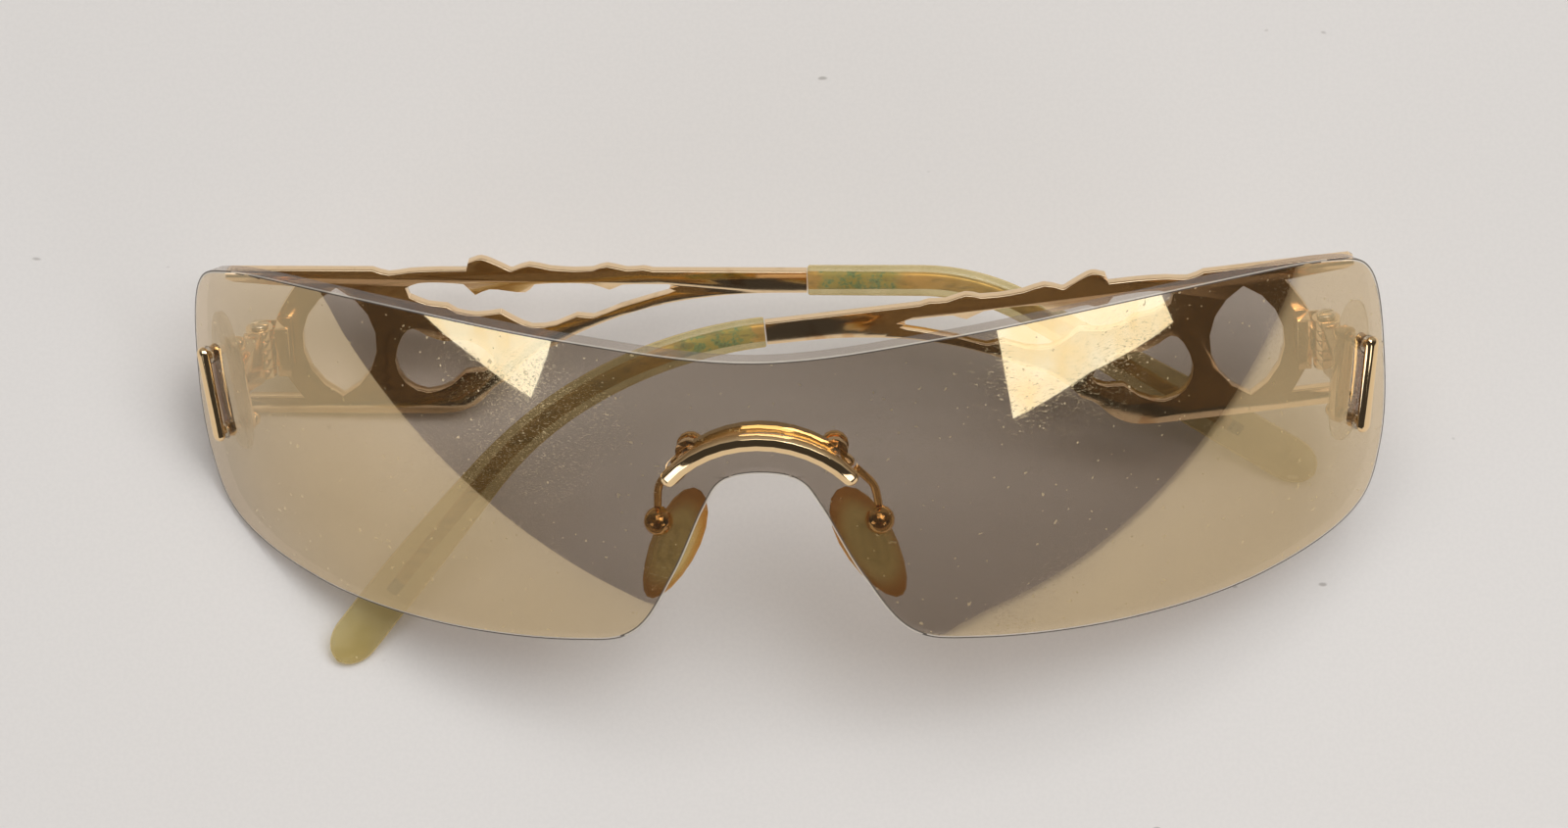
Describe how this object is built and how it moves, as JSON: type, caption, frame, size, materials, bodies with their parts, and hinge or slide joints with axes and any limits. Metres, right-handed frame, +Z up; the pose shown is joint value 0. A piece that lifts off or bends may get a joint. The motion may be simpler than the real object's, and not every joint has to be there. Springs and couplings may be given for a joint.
{
  "type": "sunglasses",
  "caption": "Rimless shield sunglasses, folded: one curved tinted lens, gold metal bridge, rocking nose pads and pierced folding temples with amber tips",
  "frame": {"origin": "centre of the bounding box's base, on the table that the folded glasses lie on", "axes": "+Z up from the table; +X along the glasses towards the wearer's left end; +Y away from the viewer, from the lens to the temples. The lens leans back by about 41 degrees"},
  "size_m": [0.1452, 0.0506, 0.0544],
  "materials": {
    "lens_tint": "clear grey-brown tint, polished",
    "gold": "gold plated, polished",
    "gold_worn": "gold plated, tarnished",
    "steel": "plain",
    "clear_plastic": "clear, aged yellow",
    "acetate": "translucent amber, green at its start",
    "pad_plastic": "translucent, aged amber"
  },
  "bodies": {
    "front_frame": {"bridge_front_bar": "gold", "bridge_nut_left": "gold", "bridge_nut_right": "gold", "bridge_rear_bar": "gold", "end_piece_left": "gold", "end_piece_right": "gold", "hinge_screw_left": "steel", "hinge_screw_right": "steel", "lens_gasket_left": "clear_plastic", "lens_gasket_right": "clear_plastic", "mount_bar_left": "gold", "mount_bar_right": "gold", "pad_arm_left": "gold_worn", "pad_arm_right": "gold_worn", "pad_cup_left": "gold_worn", "pad_cup_right": "gold_worn", "pad_pin_left": "steel", "pad_pin_right": "steel", "shield_lens": "lens_tint", "stud_bush_lower_left": "clear_plastic", "stud_bush_lower_right": "clear_plastic", "stud_bush_upper_left": "clear_plastic", "stud_bush_upper_right": "clear_plastic", "stud_nut_lower_left": "gold", "stud_nut_lower_right": "gold", "stud_nut_upper_left": "gold", "stud_nut_upper_right": "gold"},
    "right_temple": {"temple_hinge_right": "gold", "temple_plate_right": "gold_worn", "temple_tip_right": "acetate", "tip_core_right": "steel"},
    "left_temple": {"temple_hinge_left": "gold", "temple_plate_left": "gold_worn", "temple_tip_left": "acetate", "tip_core_left": "steel"},
    "right_nose_pad": {"nose_pad_right": "pad_plastic"},
    "left_nose_pad": {"nose_pad_left": "pad_plastic"}
  },
  "joints": [
    {"name": "right_fold", "type": "hinge", "parent": "front_frame", "child": "right_temple", "pos_m": [-0.06509, 0.01489, 0.00987], "axis": [-0.0562, 0.6801, 0.7309], "range_deg": [0, 91]},
    {"name": "left_fold", "type": "hinge", "parent": "front_frame", "child": "left_temple", "pos_m": [0.0655, 0.01489, 0.01991], "axis": [0.0562, -0.6801, -0.7309], "range_deg": [0, 101]},
    {"name": "right_pad_rock", "type": "hinge", "parent": "front_frame", "child": "right_nose_pad", "pos_m": [-0.01432, -0.01339, 0.03167], "axis": [-0.6318, 0.708, -0.3154], "range_deg": [-6, 6]},
    {"name": "left_pad_rock", "type": "hinge", "parent": "front_frame", "child": "left_nose_pad", "pos_m": [0.012, -0.01339, 0.03369], "axis": [0.6726, 0.708, -0.2151], "range_deg": [-6, 6]}
  ],
  "couplings": [
    {"joint": "left_fold", "follows": "right_fold", "ratio": 1.1077}
  ]
}
